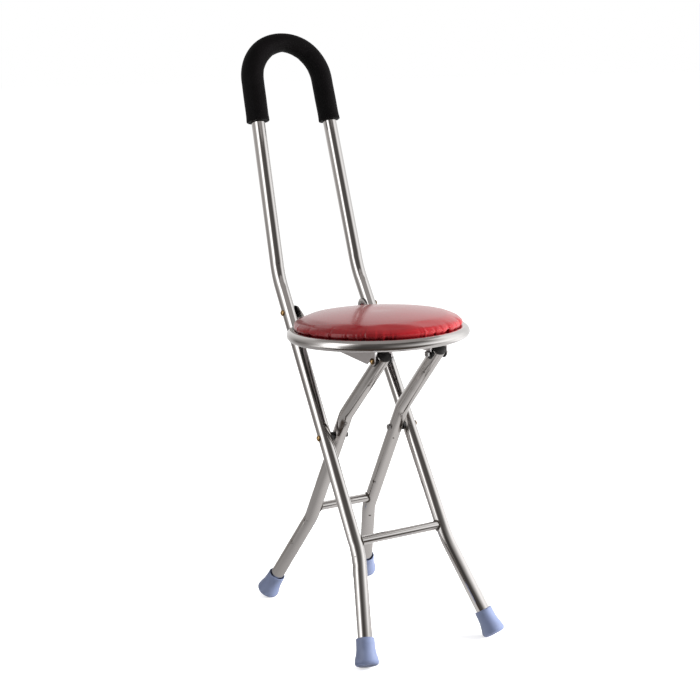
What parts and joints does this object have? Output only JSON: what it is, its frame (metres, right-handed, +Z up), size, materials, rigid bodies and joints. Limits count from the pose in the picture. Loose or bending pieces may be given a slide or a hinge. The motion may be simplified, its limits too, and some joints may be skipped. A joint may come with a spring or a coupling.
{
  "type": "walking stick seat",
  "caption": "Folding walking stick seat: bent steel tube legs that cross on two bolts, a foam-sleeved U handle and a round red padded seat in a steel ring that tips up.",
  "frame": {"origin": "on the floor, under the middle of the whole object", "axes": "+Z up; +Y towards the handle, behind the sitter; +X towards the side that is on the right when the seat's free edge is seen from the front"},
  "size_m": [0.254, 0.4301, 0.8373],
  "materials": {
    "polished_steel": "polished stainless tube",
    "satin_steel": "satin, lightly scuffed",
    "sponge": "matte closed-cell foam",
    "grey_rubber": "matte moulded rubber",
    "black_plastic": "moulded",
    "brass_bolt": "yellow plated, domed",
    "zinc_nut": "zinc plated",
    "red_leathercloth": "glossy soft film",
    "cushion_foam": "open-cell foam",
    "plywood": "bare plywood"
  },
  "bodies": {
    "frame": {"long_frame": "polished_steel", "handle_sleeve": "sponge", "front_crossbar": "satin_steel", "front_left_foot": "grey_rubber", "front_right_foot": "grey_rubber", "hinge_bolt_left": "brass_bolt", "hinge_bolt_right": "brass_bolt", "hinge_washer_left": "black_plastic", "hinge_washer_right": "black_plastic", "hinge_nut_left": "zinc_nut", "hinge_nut_right": "zinc_nut", "crossing_bolt_left": "brass_bolt", "crossing_bolt_right": "brass_bolt", "crossing_spacer_left": "black_plastic", "crossing_spacer_right": "black_plastic", "crossing_nut_left": "zinc_nut", "crossing_nut_right": "zinc_nut"},
    "rear_legs": {"rear_left_leg": "satin_steel", "rear_right_leg": "satin_steel", "rear_crossbar": "satin_steel", "rear_left_foot": "grey_rubber", "rear_right_foot": "grey_rubber", "leg_top_plug_left": "black_plastic", "leg_top_plug_right": "black_plastic", "catch_bolt_left": "brass_bolt", "catch_bolt_right": "brass_bolt", "catch_outer_washer_left": "black_plastic", "catch_outer_washer_right": "black_plastic", "catch_inner_washer_left": "black_plastic", "catch_inner_washer_right": "black_plastic", "catch_nut_left": "zinc_nut", "catch_nut_right": "zinc_nut"},
    "seat": {"seat_ring": "polished_steel", "seat_pan": "satin_steel", "seat_board": "plywood", "seat_foam": "cushion_foam", "seat_cover": "red_leathercloth", "board_screws": "zinc_nut", "seat_channel_left": "satin_steel", "seat_channel_right": "satin_steel", "hinge_ear_left": "polished_steel", "hinge_ear_right": "polished_steel"}
  },
  "joints": [
    {"name": "seat_fold", "type": "hinge", "parent": "frame", "child": "seat", "pos_m": [0, 0.0696, 0.44498], "axis": [-1, 0, 0], "range_deg": [0, 100]},
    {"name": "leg_fold", "type": "hinge", "parent": "frame", "child": "rear_legs", "pos_m": [0, -0.0341, 0.2822], "axis": [-1, 0, 0], "range_deg": [0, 53]}
  ],
  "couplings": [
    {"joint": "leg_fold", "follows": "seat_fold", "ratio": 0.53}
  ]
}
